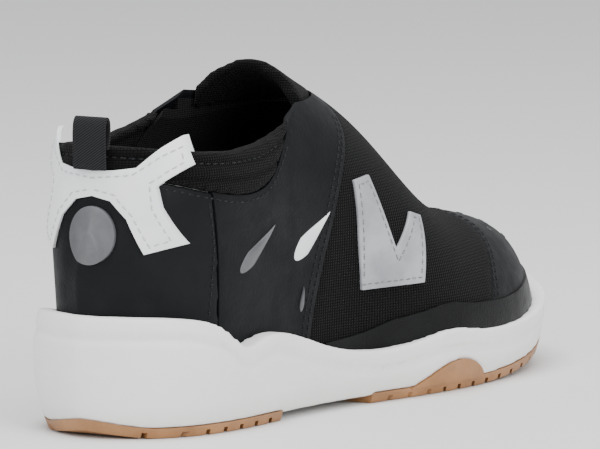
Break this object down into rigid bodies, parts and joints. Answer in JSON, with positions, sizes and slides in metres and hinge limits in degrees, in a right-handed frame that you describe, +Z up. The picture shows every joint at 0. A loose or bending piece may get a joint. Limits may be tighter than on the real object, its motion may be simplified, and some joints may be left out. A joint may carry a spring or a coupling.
{
  "type": "court shoe",
  "caption": "Right indoor court shoe: laceless bootie upper with layered panels, forked heel overlay, cupped foam midsole and gum outsoles.",
  "frame": {"origin": "on the ground, under the middle of the shoe's length and width", "axes": "+X from heel to toe, +Y towards the inner (medial) side of the right foot, +Z up"},
  "size_m": [0.2819, 0.1045, 0.1217],
  "materials": {
    "midsole_foam": "fine-grained white moulded foam",
    "gum_rubber": "semi-matte gum rubber",
    "cushion_gel": "soft cushioning insert",
    "shank_plastic": "moulded plate",
    "board_textile": "stitched board",
    "sock_textile": "brushed knit over foam",
    "quarter_leather": "smooth matt synthetic leather",
    "vamp_textile": "tight engineered mesh",
    "toe_leather": "matt synthetic leather",
    "stiffener_plastic": "thermoformed sheet",
    "padding_foam": "open-cell foam backing",
    "knit_textile": "ribbed stretch knit",
    "lining_textile": "air-mesh lining",
    "overlay_white": "welded film",
    "overlay_grey": "welded film with a soft sheen",
    "webbing": "flat woven tape"
  },
  "bodies": {
    "shoe": {"midsole": "midsole_foam", "outsole_heel": "gum_rubber", "outsole_forefoot": "gum_rubber", "heel_cushion": "cushion_gel", "arch_shank": "shank_plastic", "lasting_board": "board_textile", "sockliner": "sock_textile", "heel_cover": "quarter_leather", "quarter_lateral": "quarter_leather", "quarter_medial": "quarter_leather", "vamp": "vamp_textile", "toe_cap": "toe_leather", "heel_counter": "stiffener_plastic", "heel_foam": "padding_foam", "quarter_foam": "padding_foam", "toe_puff": "stiffener_plastic", "elastic_gusset": "knit_textile", "quarter_lining": "lining_textile", "vamp_lining": "lining_textile", "collar": "knit_textile", "heel_cage": "overlay_white", "heel_patch": "overlay_grey", "forefoot_fork_lateral": "overlay_grey", "forefoot_fork_medial": "overlay_grey", "side_slots": "overlay_grey", "pull_tab_root": "webbing"},
    "tongue": {"tongue": "knit_textile", "tongue_patch": "overlay_white"},
    "pull_tab": {"pull_tab": "webbing"}
  },
  "joints": [
    {"name": "tongue_lift", "type": "hinge", "parent": "shoe", "child": "tongue", "pos_m": [-0.006, 0.003, 0.1095], "axis": [0, 1, 0], "range_deg": [0, 30], "stiffness_Nm_per_rad": 0.02},
    {"name": "pull_tab_fold", "type": "hinge", "parent": "shoe", "child": "pull_tab", "pos_m": [-0.1324, 0.003, 0.0988], "axis": [0, 1, 0], "range_deg": [-60, 4], "stiffness_Nm_per_rad": 0.002}
  ]
}
